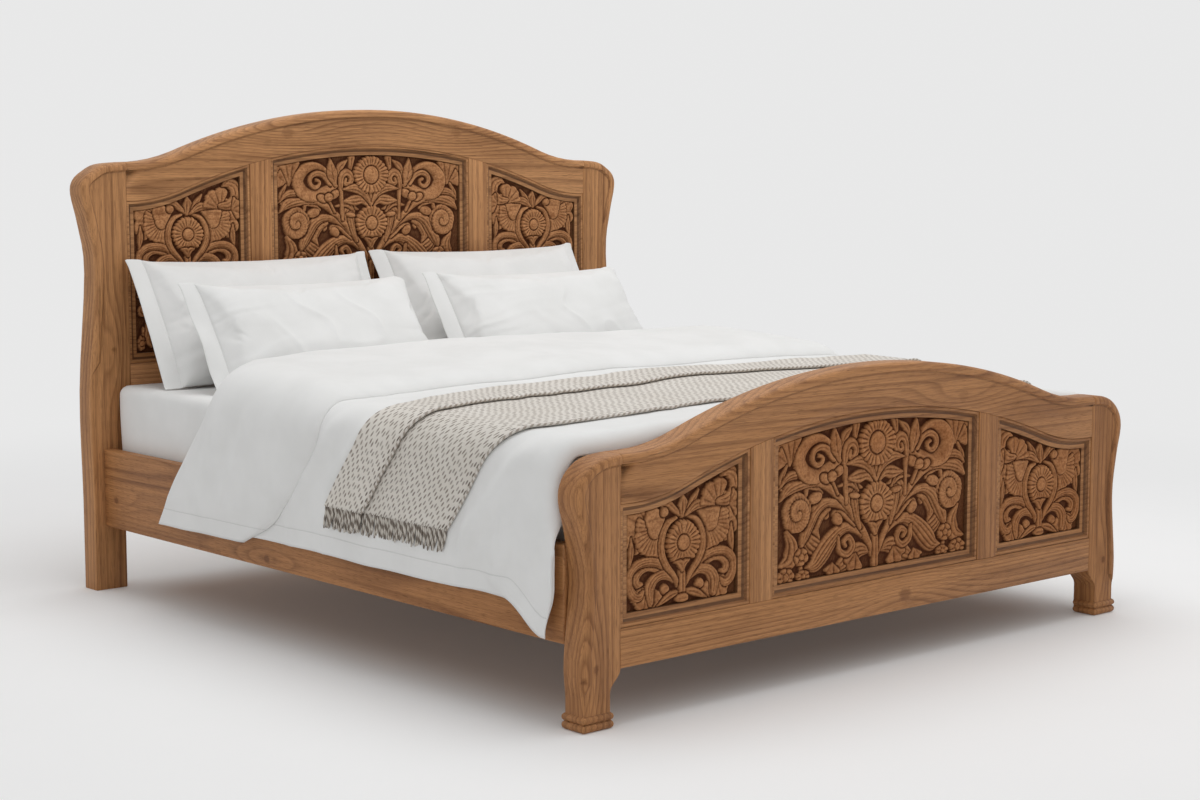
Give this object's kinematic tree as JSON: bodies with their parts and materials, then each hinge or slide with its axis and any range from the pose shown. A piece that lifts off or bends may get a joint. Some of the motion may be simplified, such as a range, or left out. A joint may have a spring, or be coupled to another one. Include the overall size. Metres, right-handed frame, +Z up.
{
  "type": "carved wooden double bed",
  "caption": "Double bed of stained wood with arched head and foot boards, floral carved panels, slatted base, mattress, pillows, turned-back duvet and knitted throw.",
  "frame": {"origin": "on the floor under the middle of the bed's box", "axes": "+X to the right seen from the foot, +Y towards the headboard, +Z up"},
  "size_m": [1.9734, 2.14, 1.357],
  "materials": {
    "stained_wood": "satin oiled, brown red",
    "slat_wood": "plain sawn",
    "zinc_steel": "zinc plated",
    "mattress_cover": "matte ticking",
    "white_linen": "matte cotton",
    "beige_knit": "waffle knit"
  },
  "bodies": {
    "bed_frame": {"headboard_post_left": "stained_wood", "headboard_post_right": "stained_wood", "headboard_crest_rail": "stained_wood", "headboard_bottom_rail": "stained_wood", "headboard_stile_left": "stained_wood", "headboard_stile_right": "stained_wood", "footboard_post_left": "stained_wood", "footboard_post_right": "stained_wood", "footboard_crest_rail": "stained_wood", "footboard_bottom_rail": "stained_wood", "footboard_stile_left": "stained_wood", "footboard_stile_right": "stained_wood", "headboard_panel_left": "stained_wood", "headboard_panel_centre": "stained_wood", "headboard_panel_right": "stained_wood", "footboard_panel_left": "stained_wood", "footboard_panel_centre": "stained_wood", "footboard_panel_right": "stained_wood", "side_rail_left": "stained_wood", "side_rail_right": "stained_wood", "centre_leg_head": "stained_wood", "centre_leg_foot": "stained_wood", "slat_ledger_left": "slat_wood", "slat_ledger_right": "slat_wood", "cross_rail_head": "slat_wood", "cross_rail_foot": "slat_wood", "centre_beam": "slat_wood", "slat_01": "slat_wood", "slat_02": "slat_wood", "slat_03": "slat_wood", "slat_04": "slat_wood", "slat_05": "slat_wood", "slat_06": "slat_wood", "slat_07": "slat_wood", "slat_08": "slat_wood", "slat_09": "slat_wood", "slat_10": "slat_wood", "slat_11": "slat_wood", "slat_12": "slat_wood", "slat_13": "slat_wood", "beam_hanger_head": "zinc_steel", "beam_hanger_foot": "zinc_steel", "hook_plate_head_left": "zinc_steel", "hook_plate_head_right": "zinc_steel", "hook_plate_foot_left": "zinc_steel", "hook_plate_foot_right": "zinc_steel", "slot_plate_head_left": "zinc_steel", "slot_plate_head_right": "zinc_steel", "slot_plate_foot_left": "zinc_steel", "slot_plate_foot_right": "zinc_steel", "mattress": "mattress_cover", "pillow_back_left": "white_linen", "pillow_back_right": "white_linen", "pillow_front_left": "white_linen", "pillow_front_right": "white_linen", "duvet": "white_linen", "throw_blanket": "beige_knit"},
    "foot_at_head": {"levelling_foot_head": "zinc_steel"},
    "foot_at_foot": {"levelling_foot_foot": "zinc_steel"}
  },
  "joints": [
    {"name": "level_head", "type": "slide", "parent": "bed_frame", "child": "foot_at_head", "axis": [0, 0, -1], "range_m": [0, 0.015]},
    {"name": "level_foot", "type": "slide", "parent": "bed_frame", "child": "foot_at_foot", "axis": [0, 0, -1], "range_m": [0, 0.015]}
  ]
}
